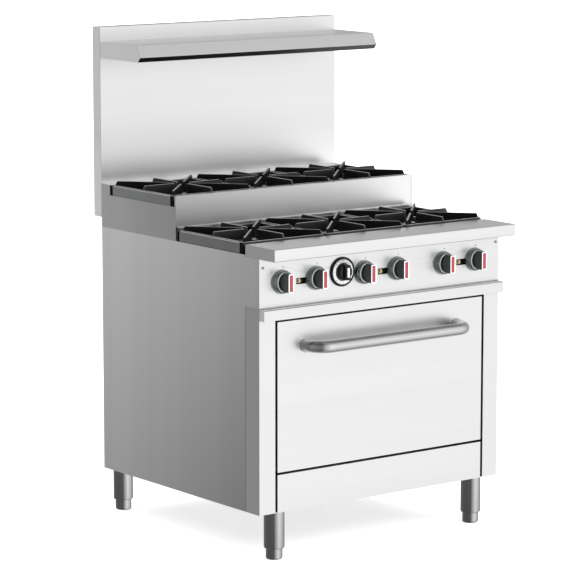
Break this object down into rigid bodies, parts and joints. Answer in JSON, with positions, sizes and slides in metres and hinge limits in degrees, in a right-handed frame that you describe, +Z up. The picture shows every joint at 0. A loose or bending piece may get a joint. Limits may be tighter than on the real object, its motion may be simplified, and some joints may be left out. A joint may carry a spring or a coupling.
{
  "type": "gas range",
  "caption": "Commercial gas range with a raised rear cooktop, a backguard with a high shelf, a drop-down oven door, a crumb tray and adjustable feet",
  "frame": {"origin": "on the floor, below the middle of the whole box", "axes": "+Z up; the front with the knobs and the door faces -Y; +X is to the right as seen from the front"},
  "size_m": [0.914, 0.943, 1.524],
  "materials": {
    "stainless": "satin brushed stainless sheet",
    "bright_steel": "satin turned steel",
    "dark_steel": "dark grey coated steel",
    "cast_iron": "matte black cast iron",
    "enamel": "black porcelain enamel",
    "chrome": "bright plated wire",
    "brass": "plain brass",
    "knob_metal": "dark gunmetal plating",
    "dial": "gloss black",
    "gasket": "matte dark grey",
    "mineral_wool": "fibrous insulation",
    "black_pipe": "black coated pipe"
  },
  "bodies": {
    "body": {"side_panel_left": "stainless", "side_panel_right": "stainless", "step_sides": "stainless", "back_panel": "stainless", "base_frame": "stainless", "flue_duct": "stainless", "front_stiles": "stainless", "kick_panel": "stainless", "control_panel": "stainless", "front_ledge": "stainless", "step_front": "stainless", "burner_box_front": "dark_steel", "burner_box_rear": "dark_steel", "guard_front": "stainless", "guard_box": "stainless", "shelf": "stainless", "shelf_ends": "stainless", "leg_tubes": "bright_steel", "gas_manifold": "black_pipe", "gas_inlet": "black_pipe", "burner_valves": "brass", "burners_front": "cast_iron", "burners_rear": "cast_iron", "pilot_tips": "bright_steel", "oven_frame": "enamel", "oven_liner": "enamel", "rack_guides": "chrome", "oven_burner": "cast_iron", "oven_baffle": "enamel", "thermostat_body": "bright_steel", "insulation": "mineral_wool", "tray_runners": "dark_steel", "panel_screws": "bright_steel", "pilot_screws": "brass", "door_pins": "bright_steel"},
    "door": {"door_skin": "stainless", "door_liner": "enamel", "door_insulation": "mineral_wool", "door_gasket": "gasket", "door_handle": "bright_steel", "door_hinge_blocks": "dark_steel"},
    "oven_rack": {"oven_rack": "chrome"},
    "crumb_tray": {"crumb_tray": "stainless"},
    "knob_1": {"knob_1": "knob_metal"},
    "knob_2": {"knob_2": "knob_metal"},
    "knob_3": {"knob_3": "knob_metal"},
    "knob_4": {"knob_4": "knob_metal"},
    "knob_5": {"knob_5": "knob_metal"},
    "knob_6": {"knob_6": "knob_metal"},
    "thermostat_dial": {"thermostat_dial": "dial"},
    "grate_front_left": {"grate_front_left": "cast_iron"},
    "grate_front_middle": {"grate_front_middle": "cast_iron"},
    "grate_front_right": {"grate_front_right": "cast_iron"},
    "grate_rear_left": {"grate_rear_left": "cast_iron"},
    "grate_rear_middle": {"grate_rear_middle": "cast_iron"},
    "grate_rear_right": {"grate_rear_right": "cast_iron"},
    "foot_front_left": {"foot_front_left": "bright_steel"},
    "foot_front_right": {"foot_front_right": "bright_steel"},
    "foot_rear_left": {"foot_rear_left": "bright_steel"},
    "foot_rear_right": {"foot_rear_right": "bright_steel"}
  },
  "joints": [
    {"name": "door_hinge", "type": "hinge", "parent": "body", "child": "door", "pos_m": [0, -0.3765, 0.276], "axis": [1, 0, 0], "range_deg": [0, 88]},
    {"name": "rack_slide", "type": "slide", "parent": "body", "child": "oven_rack", "axis": [0, -1, 0], "range_m": [0, 0.3535]},
    {"name": "tray_slide", "type": "slide", "parent": "body", "child": "crumb_tray", "axis": [0, -1, 0], "range_m": [0, 0.45]},
    {"name": "knob_1_turn", "type": "hinge", "parent": "body", "child": "knob_1", "pos_m": [-0.3765, -0.3885, 0.83], "axis": [0, -1, 0], "range_deg": [0, 90]},
    {"name": "knob_2_turn", "type": "hinge", "parent": "body", "child": "knob_2", "pos_m": [-0.2515, -0.3885, 0.83], "axis": [0, -1, 0], "range_deg": [0, 90]},
    {"name": "knob_3_turn", "type": "hinge", "parent": "body", "child": "knob_3", "pos_m": [-0.0715, -0.3885, 0.83], "axis": [0, -1, 0], "range_deg": [0, 90]},
    {"name": "knob_4_turn", "type": "hinge", "parent": "body", "child": "knob_4", "pos_m": [0.0535, -0.3885, 0.83], "axis": [0, -1, 0], "range_deg": [0, 90]},
    {"name": "knob_5_turn", "type": "hinge", "parent": "body", "child": "knob_5", "pos_m": [0.2335, -0.3885, 0.83], "axis": [0, -1, 0], "range_deg": [0, 90]},
    {"name": "knob_6_turn", "type": "hinge", "parent": "body", "child": "knob_6", "pos_m": [0.3585, -0.3885, 0.83], "axis": [0, -1, 0], "range_deg": [0, 90]},
    {"name": "thermostat_turn", "type": "hinge", "parent": "body", "child": "thermostat_dial", "pos_m": [-0.154, -0.3885, 0.839], "axis": [0, -1, 0], "range_deg": [0, 270]},
    {"name": "grate_front_left_lift", "type": "slide", "parent": "body", "child": "grate_front_left", "axis": [0, 0, 1], "range_m": [0, 0.08]},
    {"name": "grate_front_middle_lift", "type": "slide", "parent": "body", "child": "grate_front_middle", "axis": [0, 0, 1], "range_m": [0, 0.08]},
    {"name": "grate_front_right_lift", "type": "slide", "parent": "body", "child": "grate_front_right", "axis": [0, 0, 1], "range_m": [0, 0.08]},
    {"name": "grate_rear_left_lift", "type": "slide", "parent": "body", "child": "grate_rear_left", "axis": [0, 0, 1], "range_m": [0, 0.08]},
    {"name": "grate_rear_middle_lift", "type": "slide", "parent": "body", "child": "grate_rear_middle", "axis": [0, 0, 1], "range_m": [0, 0.08]},
    {"name": "grate_rear_right_lift", "type": "slide", "parent": "body", "child": "grate_rear_right", "axis": [0, 0, 1], "range_m": [0, 0.08]},
    {"name": "foot_front_left_screw", "type": "slide", "parent": "body", "child": "foot_front_left", "axis": [0, 0, -1], "range_m": [0, 0.025]},
    {"name": "foot_front_right_screw", "type": "slide", "parent": "body", "child": "foot_front_right", "axis": [0, 0, -1], "range_m": [0, 0.025]},
    {"name": "foot_rear_left_screw", "type": "slide", "parent": "body", "child": "foot_rear_left", "axis": [0, 0, -1], "range_m": [0, 0.025]},
    {"name": "foot_rear_right_screw", "type": "slide", "parent": "body", "child": "foot_rear_right", "axis": [0, 0, -1], "range_m": [0, 0.025]}
  ],
  "couplings": [
    {"joint": "rack_slide", "follows": "door_hinge", "m_per_rad": 0.23}
  ]
}
